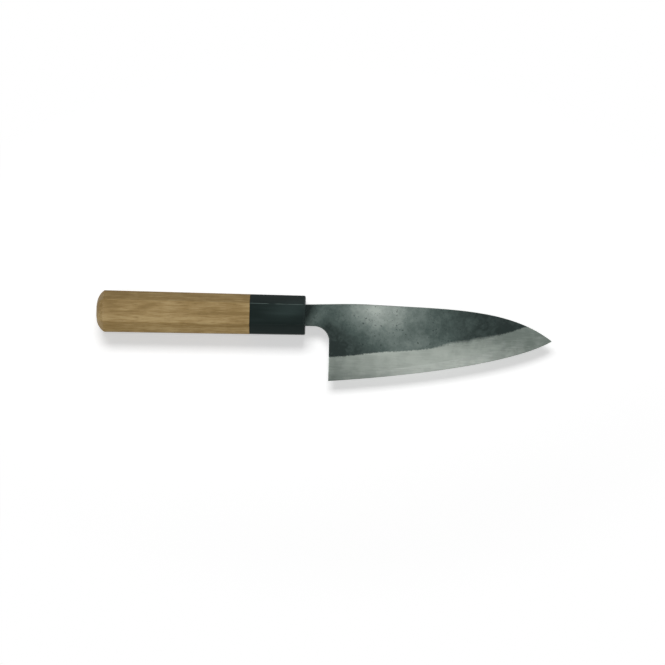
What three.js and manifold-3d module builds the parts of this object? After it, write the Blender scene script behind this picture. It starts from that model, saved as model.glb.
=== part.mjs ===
// A small kitchen knife with a Japanese-style handle. The blade is forged from three layers: a hard steel
// core between two soft iron claddings. Its hidden tang is bedded in a slotted dowel, and the dowel joins an
// eight-sided wooden handle body to a dark ferrule.
//
// Units are millimetres, angles are degrees. The knife lies on its left side: X runs from the butt to the tip,
// Y from the edge to the spine, and Z up through the right side of the blade. Each piece is drawn with the
// handle's axis on X and the ferrule's front face at X = 0, and the whole knife is then set down with the
// middle of its footprint on the origin.

import * as THREE from "three";
import { mergeVertices } from "three/addons/utils/BufferGeometryUtils.js";
import Module from "manifold-3d";

// Blade, seen from the side
const bladeLength = 117.6; // heel to tip
const bladeHeight = 40.2; // spine at the ferrule down to the heel's corner
const tipDrop = 16.75; // spine at the ferrule down to the tip
const spineHeight = 5.85; // spine at the ferrule, above the handle's axis
const spineStartAngle = 1.3; // how steeply the spine climbs as it leaves the ferrule
const spineTipAngle = 35; // how steeply it falls at the tip
const spineStartPull = 0.73; // reach of the spine's first control point, as a share of its length
const spineTipPull = 0.157; // reach of its second control point
const edgeHeelAngle = 4.8; // how steeply the edge climbs at the heel
const edgeTipAngle = 32.6; // how steeply it climbs at the tip
const edgeHeelPull = 0.726; // reach of the edge's first control point, as a share of its length
const edgeTipPull = 0.067; // reach of its second control point
const neckLength = 12.7; // ferrule's front face to the heel
const neckHeight = 11.4;
const choilRadius = 8; // hollow between the neck and the heel

// Blade, seen in section
const spineThickness = 3; // at the neck and along the tang
const tipThickness = 1.6; // where the taper of the flats would end, at the tip
const coreThickness = 0.9;
const bevelHeight = 12.5; // ground bevel, from the edge up to the dark flat
const edgeBevelHeight = 0.45; // last narrow bevel, honed on the edge itself
const edgeBevelAngle = 15; // that bevel's slope on each side

// Tang, inside the handle and centred on its axis
const tangLength = 78; // ferrule's front face to the tang's end
const tangHeight = 8.6; // behind the neck's shoulders
const tangEndHeight = 5;

// Handle, outside
const handleLength = 110.1; // butt to the ferrule's front face
const ferruleLength = 29.2;
const buttHeight = 22; // at the rim of the domed butt
const frontHeight = 20.9; // at the ferrule's front face
const handleThickness = 19;
const facetDepth = 4.95; // how far the four slanting facets cut into the height and the thickness
const domeDepth = 4.2; // rounding of the butt, along the handle
const domeFlat = 5.8; // height of the flat left at the middle of the butt
const ferruleChamfer = 0.8; // around the ferrule's front face

// Handle, inside
const mouthDepth = 6; // ferrule's front wall, which the neck passes through
const sealThickness = 0.8; // around the neck, in the ferrule's mouth
const beddingThickness = 0.8; // around the tang, in the dowel
const dowelWall = 1; // least wood left between the dowel's slot and its outside
const dowelLength = 46;
const glueGap = 0.2; // between glued pieces
const tangHoleGap = 0.4; // around the tang's end, in the handle body

// Fineness of curves
const spineSteps = 28;
const edgeSteps = 28;
const domeSteps = 6;
const roundSides = 32;

const wasm = await Module();
wasm.setup();

// A closed geometry as a solid that can be cut and joined.
function solid(geometry) {
  const bare = geometry.clone();
  bare.deleteAttribute("normal");
  bare.deleteAttribute("uv");
  const merged = mergeVertices(bare);
  return new wasm.Manifold(
    new wasm.Mesh({
      numProp: 3,
      vertProperties: merged.attributes.position.array,
      triVerts: new Uint32Array(merged.index.array),
    }),
  );
}

// A named mesh of a solid.
function piece(name, shape, material) {
  const made = shape.getMesh();
  const geometry = new THREE.BufferGeometry();
  geometry.setAttribute("position", new THREE.BufferAttribute(made.vertProperties, 3));
  geometry.setIndex(new THREE.BufferAttribute(made.triVerts, 1));
  geometry.computeVertexNormals();
  const mesh = new THREE.Mesh(geometry, material);
  mesh.name = name;
  return mesh;
}

// A solid through a row of convex sections along X. Each is { x, points }, with as many points of [y, z] as
// the others, going round from +Y towards +Z.
function loft(sections) {
  const count = sections[0].points.length;
  const positions = sections.flatMap(({ x, points }) => points.flatMap(([y, z]) => [x, y, z]));
  const faces = [];
  for (let ring = 0; ring < (sections.length - 1) * count; ring += count) {
    for (let i = 0; i < count; i++) {
      const next = (i + 1) % count;
      const here = [ring + i, ring + next];
      const ahead = [here[0] + count, here[1] + count];
      faces.push(here[0], here[1], ahead[1], here[0], ahead[1], ahead[0]);
    }
  }
  const last = (sections.length - 1) * count;
  for (let i = 1; i < count - 1; i++) {
    faces.push(0, i + 1, i, last, last + i, last + i + 1);
  }
  const geometry = new THREE.BufferGeometry();
  geometry.setAttribute("position", new THREE.Float32BufferAttribute(positions, 3));
  geometry.setIndex(faces);
  return solid(geometry);
}

// A box between two corners.
function block([x0, y0, z0], [x1, y1, z1]) {
  const geometry = new THREE.BoxGeometry(x1 - x0, y1 - y0, z1 - z0);
  geometry.translate((x0 + x1) / 2, (y0 + y1) / 2, (z0 + z1) / 2);
  return solid(geometry);
}

// A round bar along the handle's axis.
function bar(radius, x0, x1) {
  const geometry = new THREE.CylinderGeometry(radius, radius, x1 - x0, roundSides);
  geometry.rotateZ(Math.PI / 2);
  geometry.translate((x0 + x1) / 2, 0, 0);
  return solid(geometry);
}

// A bar along X whose section is an upright oblong with round corners, centred at height y.
function oblongBar(height, width, corner, y, x0, x1) {
  const outY = height / 2 - corner;
  const outZ = width / 2 - corner;
  const quarter = Math.PI / 2;
  const shape = new THREE.Shape();
  shape.absarc(outZ, y + outY, corner, 0, quarter);
  shape.absarc(-outZ, y + outY, corner, quarter, 2 * quarter);
  shape.absarc(-outZ, y - outY, corner, 2 * quarter, 3 * quarter);
  shape.absarc(outZ, y - outY, corner, 3 * quarter, 4 * quarter);
  const geometry = new THREE.ExtrudeGeometry(shape, {
    depth: x1 - x0,
    bevelEnabled: false,
    curveSegments: roundSides / 4,
  });
  geometry.rotateY(quarter);
  geometry.translate(x0, 0, 0);
  return solid(geometry);
}

const along = (angle, reach) => {
  const turn = THREE.MathUtils.degToRad(angle);
  return new THREE.Vector2(Math.cos(turn), Math.sin(turn)).multiplyScalar(reach);
};

// Places that several pieces share
const margin = 5; // how far the cutting solids run past what they cut
const heelX = neckLength;
const tip = new THREE.Vector2(neckLength + bladeLength, spineHeight - tipDrop);
const heel = new THREE.Vector2(heelX, spineHeight - bladeHeight);
const neckBottom = spineHeight - neckHeight;
const neckMiddle = spineHeight - neckHeight / 2;
const shoulderX = -mouthDepth + glueGap;
const buttX = -handleLength;
const seamX = -ferruleLength;
const dowelFrontX = -mouthDepth - glueGap;
const dowelBackX = dowelFrontX - dowelLength;
const slotHeight = tangHeight + 2 * beddingThickness;
const slotWidth = spineThickness + 2 * beddingThickness;
const dowelRadius = Math.hypot(slotHeight / 2, slotWidth / 2) + dowelWall;
const mouthHeight = neckHeight + 2 * sealThickness;
const mouthWidth = spineThickness + 2 * sealThickness;

// The tang narrows in a straight taper from the shoulders to its end.
function tangHeightAt(x) {
  const share = (x - shoulderX) / (-tangLength - shoulderX);
  return THREE.MathUtils.lerp(tangHeight, tangEndHeight, share);
}

// The spine and the edge, as the side view shows them
const spineStart = new THREE.Vector2(0, spineHeight);
const spineReach = tip.x - spineStart.x;
const spine = new THREE.CubicBezierCurve(
  spineStart,
  spineStart.clone().add(along(spineStartAngle, spineStartPull * spineReach)),
  tip.clone().sub(along(-spineTipAngle, spineTipPull * spineReach)),
  tip,
);
const edge = new THREE.CubicBezierCurve(
  heel,
  heel.clone().add(along(edgeHeelAngle, edgeHeelPull * bladeLength)),
  tip.clone().sub(along(edgeTipAngle, edgeTipPull * bladeLength)),
  tip,
);

// The blade, neck and tang cut from one flat bar. The bar runs on below the edge, which the grinding makes.
function forgedBar() {
  const outline = new THREE.Shape();
  outline.moveTo(-tangLength, -tangEndHeight / 2);
  outline.lineTo(shoulderX, -tangHeight / 2);
  outline.lineTo(shoulderX, neckBottom);
  outline.lineTo(heelX - choilRadius, neckBottom);
  outline.absarc(heelX - choilRadius, neckBottom - choilRadius, choilRadius, Math.PI / 2, 0, true);
  outline.lineTo(heelX, heel.y - margin);
  outline.lineTo(tip.x, heel.y - margin);
  for (const point of spine.getPoints(spineSteps).reverse()) {
    outline.lineTo(point.x, point.y);
  }
  outline.lineTo(shoulderX, spineHeight);
  outline.lineTo(shoulderX, tangHeight / 2);
  outline.lineTo(-tangLength, tangEndHeight / 2);
  outline.closePath();
  const geometry = new THREE.ExtrudeGeometry(outline, {
    depth: spineThickness,
    bevelEnabled: false,
    curveSegments: spineSteps,
  });
  geometry.translate(0, 0, -spineThickness / 2);
  return solid(geometry);
}

// Stations along the edge, run on past the tang's end and past the tip.
function edgeStations() {
  const points = edge.getPoints(edgeSteps);
  const before = new THREE.Vector2(-tangLength - margin, heel.y);
  const beyond = tip.clone().add(along(edgeTipAngle, margin));
  return [before, ...points, beyond];
}

// What grinding leaves: flats that taper towards the tip, and a bevel on each side that would meet a little
// below the edge. The honed bevel then brings the two sides together on the edge itself.
function groundForm() {
  const aboveSpine = spineHeight + bladeHeight;
  const honedSlope = Math.tan(THREE.MathUtils.degToRad(edgeBevelAngle));
  const ground = [];
  const honed = [];
  for (const { x, y } of edgeStations()) {
    const share = THREE.MathUtils.clamp((x - heelX) / bladeLength, 0, 1);
    const half = THREE.MathUtils.lerp(spineThickness, tipThickness, share) / 2;
    const honedHalf = edgeBevelHeight * honedSlope;
    const bevelSlope = (half - honedHalf) / (bevelHeight - edgeBevelHeight);
    const meeting = y + edgeBevelHeight - honedHalf / bevelSlope;
    const shoulder = y + bevelHeight;
    ground.push({
      x,
      points: [[aboveSpine, half], [shoulder, half], [meeting, 0], [shoulder, -half], [aboveSpine, -half]],
    });
    const honedTop = (aboveSpine - y) * honedSlope;
    honed.push({ x, points: [[aboveSpine, honedTop], [y, 0], [aboveSpine, -honedTop]] });
  }
  return loft(ground).intersect(loft(honed));
}

// The layer of the blade that lies between two heights above its middle plane.
function layer(blade, low, high) {
  const from = [-tangLength - margin, heel.y - margin, low];
  const to = [tip.x + margin, spineHeight + bladeHeight, high];
  return blade.intersect(block(from, to));
}

// The handle's eight-sided section, as points of [y, z].
function octagon(height, thickness) {
  const y = height / 2;
  const z = thickness / 2;
  return [
    [y, facetDepth - z],
    [y, z - facetDepth],
    [y - facetDepth, z],
    [facetDepth - y, z],
    [-y, z - facetDepth],
    [-y, facetDepth - z],
    [facetDepth - y, -z],
    [y - facetDepth, -z],
  ];
}

// The handle is tallest at the rim of its butt and narrows in a straight taper to the ferrule's front.
const rimX = buttX + domeDepth;

function handleHeightAt(x) {
  return THREE.MathUtils.mapLinear(x, rimX, 0, buttHeight, frontHeight);
}

function handleSection(x, scale = 1) {
  const points = octagon(handleHeightAt(Math.max(x, rimX)), handleThickness);
  return { x, points: points.map(([y, z]) => [y * scale, z * scale]) };
}

// The butt is rounded by an arc that runs from the small flat at its middle out to the rim.
function domeSections() {
  const rise = (buttHeight - domeFlat) / 2;
  const radius = (rise ** 2 + domeDepth ** 2) / (2 * domeDepth);
  const fullTurn = Math.acos(1 - domeDepth / radius);
  const sections = [];
  for (let step = 0; step < domeSteps; step++) {
    const turn = (fullTurn * step) / domeSteps;
    const halfHeight = domeFlat / 2 + radius * Math.sin(turn);
    sections.push(handleSection(buttX + radius * (1 - Math.cos(turn)), (2 * halfHeight) / buttHeight));
  }
  return sections;
}

function handleBody() {
  const outside = loft([...domeSections(), handleSection(rimX), handleSection(seamX)]);
  const dowelBore = bar(dowelRadius + glueGap, dowelBackX - glueGap, seamX + margin);
  const holeHalfHeight = tangHeightAt(dowelBackX) / 2 + tangHoleGap;
  const holeHalfWidth = spineThickness / 2 + tangHoleGap;
  const tangHole = block(
    [-tangLength - tangHoleGap, -holeHalfHeight, -holeHalfWidth],
    [seamX, holeHalfHeight, holeHalfWidth],
  );
  return outside.subtract(dowelBore).subtract(tangHole);
}

function ferrule() {
  const front = octagon(frontHeight, handleThickness);
  const inset = front.map(([y, z]) => [
    y * (1 - (2 * ferruleChamfer) / frontHeight),
    z * (1 - (2 * ferruleChamfer) / handleThickness),
  ]);
  const outside = loft([handleSection(seamX), handleSection(-ferruleChamfer), { x: 0, points: inset }]);
  const dowelBore = bar(dowelRadius + glueGap, seamX - margin, -mouthDepth);
  const mouth = oblongBar(mouthHeight, mouthWidth, sealThickness, neckMiddle, -mouthDepth - margin, margin);
  return outside.subtract(dowelBore).subtract(mouth);
}

// Closes the ferrule's mouth around the neck.
function neckSeal() {
  const height = mouthHeight - 2 * glueGap;
  const width = mouthWidth - 2 * glueGap;
  const fill = oblongBar(height, width, sealThickness - glueGap, neckMiddle, shoulderX, 0);
  const neckRoom = block(
    [shoulderX - margin, neckBottom - glueGap, -spineThickness / 2 - glueGap],
    [margin, spineHeight + glueGap, spineThickness / 2 + glueGap],
  );
  return fill.subtract(neckRoom);
}

function handleDowel() {
  const slot = block(
    [dowelBackX - margin, -slotHeight / 2, -slotWidth / 2],
    [dowelFrontX + margin, slotHeight / 2, slotWidth / 2],
  );
  return bar(dowelRadius, dowelBackX, dowelFrontX).subtract(slot);
}

// Fills the dowel's slot around the tang.
function tangBedding() {
  const halfHeight = slotHeight / 2 - glueGap;
  const halfWidth = slotWidth / 2 - glueGap;
  const fill = block([dowelBackX, -halfHeight, -halfWidth], [dowelFrontX, halfHeight, halfWidth]);
  const roomAt = (x) => {
    const y = tangHeightAt(x) / 2 + glueGap;
    const z = spineThickness / 2 + glueGap;
    return { x, points: [[y, z], [-y, z], [-y, -z], [y, -z]] };
  };
  return fill.subtract(loft([roomAt(dowelBackX - margin), roomAt(dowelFrontX + margin)]));
}

const steel = new THREE.MeshStandardMaterial({ color: 0x98a299, roughness: 0.3, metalness: 1 });
const iron = new THREE.MeshStandardMaterial({ color: 0x525f5b, roughness: 0.5, metalness: 0.9 });
const horn = new THREE.MeshStandardMaterial({ color: 0x1f2726, roughness: 0.35, metalness: 0 });
const oak = new THREE.MeshStandardMaterial({ color: 0x8d7752, roughness: 0.6, metalness: 0 });
const paleWood = new THREE.MeshStandardMaterial({ color: 0xc9b58c, roughness: 0.8, metalness: 0 });
const resin = new THREE.MeshStandardMaterial({ color: 0x2b2a24, roughness: 0.45, metalness: 0 });

const blade = forgedBar().intersect(groundForm());
const coreHalf = coreThickness / 2;

const knife = new THREE.Group();
knife.add(
  piece("blade_core", layer(blade, -coreHalf, coreHalf), steel),
  piece("right_cladding", layer(blade, coreHalf, spineThickness), iron),
  piece("left_cladding", layer(blade, -spineThickness, -coreHalf), iron),
  piece("handle_body", handleBody(), oak),
  piece("ferrule", ferrule(), horn),
  piece("handle_dowel", handleDowel(), paleWood),
  piece("tang_bedding", tangBedding(), resin),
  piece("neck_seal", neckSeal(), resin),
);

// The knife is set down on the handle's left side, with the middle of its footprint on the origin.
const box = new THREE.Box3().setFromObject(knife);
const middle = box.getCenter(new THREE.Vector3());
knife.position.set(-middle.x, -middle.y, -box.min.z);

const part = new THREE.Group();
part.add(knife);

export default part;
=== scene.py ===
# %% [markdown]
# # Dressing a small forged kitchen knife
# The knife's construction comes ready made: its solids lie at their real size in one frame. This lesson
# gives them their looks: a forged blade of three layers, an oiled wooden handle, a polished ferrule, and
# the light to see them by. Shapes are drawn in millimetres, the way a knife maker would measure them: X
# along the handle's axis from the ferrule's front face, Y from the edge to the spine, Z through the
# blade's right side.

# %% Load the frame
import math

import bmesh
import bpy
import numpy as np
from mathutils import Matrix, Vector, geometry, noise


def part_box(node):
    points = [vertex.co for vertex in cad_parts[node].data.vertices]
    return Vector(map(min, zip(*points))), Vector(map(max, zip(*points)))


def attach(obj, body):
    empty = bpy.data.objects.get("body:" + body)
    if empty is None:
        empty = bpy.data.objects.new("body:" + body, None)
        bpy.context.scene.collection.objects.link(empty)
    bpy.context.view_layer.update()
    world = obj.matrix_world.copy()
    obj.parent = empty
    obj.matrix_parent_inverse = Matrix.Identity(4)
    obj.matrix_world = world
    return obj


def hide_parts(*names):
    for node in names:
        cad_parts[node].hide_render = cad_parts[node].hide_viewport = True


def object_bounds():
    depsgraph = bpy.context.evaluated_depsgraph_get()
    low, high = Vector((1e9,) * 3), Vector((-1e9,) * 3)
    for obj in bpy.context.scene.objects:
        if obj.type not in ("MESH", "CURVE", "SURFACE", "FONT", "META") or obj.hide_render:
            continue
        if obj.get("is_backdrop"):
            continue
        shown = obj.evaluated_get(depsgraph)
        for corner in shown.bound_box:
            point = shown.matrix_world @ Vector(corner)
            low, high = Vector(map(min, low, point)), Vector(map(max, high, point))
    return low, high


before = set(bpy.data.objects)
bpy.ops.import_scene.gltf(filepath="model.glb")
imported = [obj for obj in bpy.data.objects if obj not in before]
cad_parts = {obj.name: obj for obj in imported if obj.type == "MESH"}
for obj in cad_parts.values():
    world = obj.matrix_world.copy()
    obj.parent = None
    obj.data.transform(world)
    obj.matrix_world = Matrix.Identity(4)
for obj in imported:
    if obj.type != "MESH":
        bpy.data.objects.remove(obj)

MM = 0.001  # metres

cad_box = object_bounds()
scene = bpy.context.scene
scene.view_settings.view_transform = "Standard"


def in_mm(box):
    """A box's corners in millimetres, to print."""
    return [[round(v / MM, 2) for v in corner] for corner in box]


print("solids:", sorted(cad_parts))
print("box in mm:", in_mm(cad_box))

# %% [markdown]
# ## Where the knife lies
# The frame is in metres and its origin is under the middle of the knife. A maker's drawing starts at the
# ferrule's front face instead, so one small function carries a drawn point into the frame. Its anchor is
# measured on the solids, and so are the ends of the handle.

# %% Carry the drawing into the frame
body_low, body_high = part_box("handle_body")
ferrule_low, ferrule_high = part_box("ferrule")
handle_middle = (body_low + body_high) / 2
anchor = Vector((ferrule_high.x, handle_middle.y, handle_middle.z))


def in_frame(x, y, z):
    """A drawn point, in millimetres, as a point of the frame, in metres."""
    return anchor + Vector((x, y, z)) * MM


def as_drawn(point):
    """A point of the frame, in metres, as a drawn point, in millimetres."""
    return (Vector(point) - anchor) / MM


butt_x = as_drawn(body_low).x
seam_x = as_drawn(ferrule_low).x
print(f"the butt is at {butt_x:.1f} mm and the ferrule's back face at {seam_x:.1f} mm")

# %% [markdown]
# ## Camera
# The picture looks almost straight down at the knife's right side. A camera in Blender looks down by
# itself when it isn't turned at all, so two small turns are enough: a roll, because the handle falls a
# little towards the right, and a lean, because slightly more of the handle's lower facet shows than of
# its upper one. The place follows from one pixel, the middle of the ferrule's front face, and from the
# scale of the picture.

# %% Set up the camera
PICTURE_SIDE = 665  # pixels
MM_PER_PIXEL = 0.528
FERRULE_PIXEL = (305.5, 315.5)  # middle of the ferrule's front face, from the left and from the top
HANDLE_FALL = 0.02175  # pixels that the handle's axis falls for each pixel to the right
LEAN = math.radians(2)
LENS, SENSOR = 100, 36


def add_object(name, data):
    """Puts a new object with its data into the scene."""
    made = bpy.data.objects.new(name, data)
    scene.collection.objects.link(made)
    return made


camera = add_object("camera", bpy.data.cameras.new("camera"))
camera.data.lens = LENS
camera.data.sensor_width = SENSOR
scene.camera = camera

distance = PICTURE_SIDE * MM_PER_PIXEL * LENS / SENSOR
turn = Matrix.Rotation(math.atan(HANDLE_FALL), 3, "Z") @ Matrix.Rotation(LEAN, 3, "X")
right = (FERRULE_PIXEL[0] - PICTURE_SIDE / 2) * MM_PER_PIXEL
down = (FERRULE_PIXEL[1] - PICTURE_SIDE / 2) * MM_PER_PIXEL
camera.matrix_world = Matrix.LocRotScale(
    anchor - turn @ Vector((right, -down, -distance)) * MM, turn.to_quaternion(), None
)
print(f"the camera is {distance:.0f} mm above the knife")

# %% [markdown]
# ## Small helpers for places and values
# Node trees are easier to read when a line says what a node does. `node` makes one and fills its inputs,
# with numbers or with links, and the others wrap the nodes that are used most. Every texture here is
# placed by the object's own coordinates, which are the frame's metres, so that a pattern keeps its real
# size.

# %% Helpers for places and values
def fill(tree, socket, value):
    """Links a socket to another one, or sets it to a value."""
    if isinstance(value, bpy.types.NodeSocket):
        tree.links.new(value, socket)
    else:
        socket.default_value = value


def node(tree, kind, settings=None, **inputs):
    """A new shader node. An input's spaces are written as underscores."""
    made = tree.nodes.new("ShaderNode" + kind)
    for name, value in (settings or {}).items():
        setattr(made, name, value)
    for name, value in inputs.items():
        fill(tree, made.inputs[name.replace("_", " ")], value)
    return made


def own_place(tree):
    """The object's own coordinates."""
    return node(tree, "TexCoord").outputs["Object"]


def maths(tree, operation, first, second=0.0):
    made = node(tree, "Math", {"operation": operation})
    fill(tree, made.inputs[0], first)
    fill(tree, made.inputs[1], second)
    return made.outputs["Value"]


def vectors(tree, operation, *values):
    """Vector maths on up to three vectors. A length comes out as a plain value."""
    made = node(tree, "VectorMath", {"operation": operation})
    for socket, value in zip(made.inputs, values):
        fill(tree, socket, value)
    return made.outputs["Value" if operation == "LENGTH" else "Vector"]


def remap(tree, value, low, high, to_low=0.0, to_high=1.0):
    """Carries a value from one range to another, softly at both ends."""
    made = node(tree, "MapRange", {"interpolation_type": "SMOOTHSTEP"}, Value=value)
    for name, limit in (("From Min", low), ("From Max", high), ("To Min", to_low), ("To Max", to_high)):
        fill(tree, made.inputs[name], limit)
    return made.outputs["Result"]


def mix(tree, share, first, second):
    """Mixes two values."""
    made = node(tree, "Mix", Factor=share)
    fill(tree, made.inputs[2], first)
    fill(tree, made.inputs[3], second)
    return made.outputs[0]


def noise_value(tree, scale, detail, roughness=0.5, place=None):
    """Noise from 0 to 1, at the object's own coordinates unless it is given another place."""
    spot = own_place(tree) if place is None else place
    made = node(tree, "TexNoise", Vector=spot, Scale=scale, Detail=detail, Roughness=roughness)
    return made.outputs["Fac"]


value_helpers = (fill, node, own_place, maths, vectors, remap, mix, noise_value)
print("helpers:", [helper.__name__ for helper in value_helpers])

# %% [markdown]
# ## Small helpers for colours and materials
# A new material starts with a Principled shader, which holds the whole finish. Colours come from a mix or
# from a ramp, and a bump makes a normal out of a height, which is enough for grooves too fine to be
# modelled.

# %% Helpers for colours and materials
def blend(tree, share, first, second):
    """Mixes two colours."""
    made = node(tree, "Mix", {"data_type": "RGBA"})
    for socket, value in zip((made.inputs[0], made.inputs[6], made.inputs[7]), (share, first, second)):
        fill(tree, socket, value)
    return made.outputs[2]


def tone(tree, value, *stops):
    """A colour ramp through stops of (place, colour)."""
    ramp = node(tree, "ValToRGB", Fac=value)
    elements = ramp.color_ramp.elements
    for _ in stops[2:]:
        elements.new(0.5)
    for element, (place, colour) in zip(elements, stops):
        element.position = place
        element.color = (*colour, 1)
    return ramp.outputs["Color"]


def new_material(name):
    """A material with its node tree and its Principled shader."""
    made = bpy.data.materials.new(name)
    made.use_nodes = True
    return made, made.node_tree, made.node_tree.nodes["Principled BSDF"]


def bump(tree, height, depth):
    """A normal from a height that varies from 0 to 1 over a depth in drawn millimetres."""
    return node(tree, "Bump", Strength=1.0, Distance=depth * MM, Height=height).outputs["Normal"]


colour_helpers = (blend, tone, new_material, bump)
print("helpers:", [helper.__name__ for helper in colour_helpers])

# %% [markdown]
# ## Effects that several finishes share
# Cloudy patches, and fibres that run along the knife, come back in several finishes, so each is a node
# group with its own inputs, built once. At a scale of 1000 their marks are about a millimetre wide.
# Fibres are the same noise as patches, drawn out along the knife.

# %% Patches and fibres
SPECK_FINENESS = 11.0  # how much finer specks are than clouds


def new_group(name, inputs, outputs):
    """An empty group, with the sockets on its inside. An input that starts as a tuple is a vector."""
    tree = bpy.data.node_groups.new(name, "ShaderNodeTree")
    for label, start in inputs.items():
        kind = "NodeSocketVector" if isinstance(start, tuple) else "NodeSocketFloat"
        tree.interface.new_socket(label, in_out="INPUT", socket_type=kind).default_value = start
    for label in outputs:
        tree.interface.new_socket(label, in_out="OUTPUT", socket_type="NodeSocketFloat")
    return tree, tree.nodes.new("NodeGroupInput").outputs, tree.nodes.new("NodeGroupOutput").inputs


def use_group(tree, group, **inputs):
    """Places a group in a material and gives its outputs."""
    made = node(tree, "Group", {"node_tree": group}, **inputs)
    return made.outputs


def patches_group():
    """Soft cloudy patches, and specks that are much finer."""
    tree, given, result = new_group("Patches", {"Scale": 100, "Low": 0.4, "High": 0.6}, ("Cloud", "Speck"))
    cloud = noise_value(tree, given["Scale"], 5.0, 0.6)
    speck = noise_value(tree, maths(tree, "MULTIPLY", given["Scale"], SPECK_FINENESS), 3.0, 0.65)
    for label, made in (("Cloud", cloud), ("Speck", speck)):
        fill(tree, result[label], remap(tree, made, given["Low"], given["High"]))
    return tree


def fibres_group():
    """Lines along the knife: noise that is stretched lengthwise."""
    inputs = {"Scale": 1000, "Stretch": 30, "Low": 0.4, "High": 0.6}
    tree, given, result = new_group("Fibres", inputs, ("Line",))
    squeeze = node(tree, "CombineXYZ", X=maths(tree, "DIVIDE", 1.0, given["Stretch"]), Y=1.0, Z=1.0)
    drawn_out = vectors(tree, "MULTIPLY", own_place(tree), squeeze.outputs["Vector"])
    line = noise_value(tree, given["Scale"], 3.0, place=drawn_out)
    fill(tree, result["Line"], remap(tree, line, given["Low"], given["High"]))
    return tree


PATCHES = patches_group()
FIBRES = fibres_group()
print("node groups:", PATCHES.name, "and", FIBRES.name)

# %% [markdown]
# ## Marks that have a place
# Other marks lie where use and making put them. A paler area of scale, wood or horn is a soft oval, which
# could be painted too, but an oval can be moved by changing one number; on the scale, the bevel and the
# horn such ovals also carry painted highlight. Which edges are rubbed is known when a mesh is made, so each
# mesh carries that as an attribute, and a group reads it and breaks it up; on the handle, the corners
# beside the spine carry a painted highlight in it as well.

# %% Soft ovals and rubbed edges
def oval_group():
    """A soft oval on the side of the knife, 1 in its middle and 0 outside."""
    inputs = {"Middle": (0, 0, 0), "Reach": (0.01, 0.01, 1), "Turn": (0, 0, 0)}
    tree, given, result = new_group("Soft oval", inputs, ("Mask",))
    placed = node(
        tree,
        "Mapping",
        {"vector_type": "TEXTURE"},
        Vector=own_place(tree),
        Location=given["Middle"],
        Rotation=given["Turn"],
        Scale=given["Reach"],
    )
    far = vectors(tree, "LENGTH", placed.outputs["Vector"])
    fill(tree, result["Mask"], remap(tree, far, 0.0, 1.0, 1.0, 0.0))
    return tree


def rubbed_and_sheen_group():
    """A mask of the edges that hands and cloths rub, broken up where they missed, with a painted highlight
    in it along the handle's corners beside the spine.
    """
    tree, given, result = new_group("Rubbed edges and painted sheen", {"Amount": 0.6, "Break Scale": 400}, ("Mask",))
    edge = node(tree, "Attribute", {"attribute_name": "rubbed"}).outputs["Fac"]
    broken = remap(tree, noise_value(tree, given["Break Scale"], 3.0), 0.3, 0.55)
    share = maths(tree, "MULTIPLY", given["Amount"], broken)
    fill(tree, result["Mask"], maths(tree, "MULTIPLY", edge, share))
    return tree


OVAL = oval_group()
RUBBED_AND_SHEEN = rubbed_and_sheen_group()


def soft_oval(tree, middle, reach, turn):
    """The oval group, from drawn millimetres and from degrees."""
    size = (reach[0] * MM, reach[1] * MM, 1)
    place = in_frame(*middle, 0)
    return use_group(tree, OVAL, Middle=place, Reach=size, Turn=(0, 0, math.radians(turn)))["Mask"]


def add_areas(tree, value, areas):
    """Adds soft ovals to a value. Each has a middle, a reach, a turn and a share of the value's range."""
    for *oval, share in areas:
        value = maths(tree, "ADD", value, maths(tree, "MULTIPLY", soft_oval(tree, *oval), share))
    return value


print("node groups:", OVAL.name, "and", RUBBED_AND_SHEEN.name)

# %% [markdown]
# ## The blade's outline
# Seen from the side, the edge is one long bow, and the spine is two: it rises a little to a crest, and
# falls from there to the tip. A Bézier curve between known ends draws each, because two angles and two
# pulls say all about a bow. Tip and heel are taken from the core's solid, and the other sizes are the
# maker's.

# %% Draw the spine and the edge
SPINE_HEIGHT = 5.85  # spine at the ferrule, above the handle's axis
SPINE_CREST = (35, 6.45)
SPINE_ANGLES = (1.0, -2.3, -36.5)  # degrees, at the ferrule, at the crest and at the tip
RISE_PULLS = (0.33, 0.33)  # reach of a curve's two handles, as shares of its length
FALL_PULLS = (0.44, 0.3)
EDGE_ANGLES = (4.8, 32.6)  # degrees, at the heel and at the tip
EDGE_PULLS = (0.726, 0.067)
POINT_SPACING = 0.6  # between the points of an outline

core_points = np.array([as_drawn(v.co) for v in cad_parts["blade_core"].data.vertices])
tip = Vector(core_points[core_points[:, 0].argmax()][:2])
heel = Vector(core_points[core_points[:, 1].argmin()][:2])


def bow(start, end, angles, pulls):
    """Evenly spread points on a Bézier curve that leaves and arrives at the given angles."""
    reach = end.x - start.x
    out, back = (
        Vector((math.cos(math.radians(angle)), math.sin(math.radians(angle)))) * pull * reach
        for angle, pull in zip(angles, pulls)
    )
    steps = round((end - start).length / POINT_SPACING)
    return [p.to_2d() for p in geometry.interpolate_bezier(start, start + out, end - back, end, steps + 1)]


crest = Vector(SPINE_CREST)
spine = bow(Vector((0, SPINE_HEIGHT)), crest, SPINE_ANGLES[:2], RISE_PULLS)
spine += bow(crest, tip, SPINE_ANGLES[1:], FALL_PULLS)[1:]
edge = bow(heel, tip, EDGE_ANGLES, EDGE_PULLS)


def curve_height(curve):
    """A function that gives a curve's height at any X."""
    xs, ys = np.array(curve).T
    return lambda x: np.interp(x, xs, ys)


spine_at = curve_height(spine)
edge_at = curve_height(edge)
print(f"heel at {heel.x:.1f}, {heel.y:.1f} mm and tip at {tip.x:.1f}, {tip.y:.1f} mm")

# %% [markdown]
# ## Round a layer of the blade
# The core and the claddings share the spine, the neck, the tang and the choil, which is the round hollow
# behind the heel. They differ in their lower side only, so one function goes round a layer and is given
# that side. Straight runs are cut into short steps, so that the triangles along them come out as small as
# elsewhere.

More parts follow.
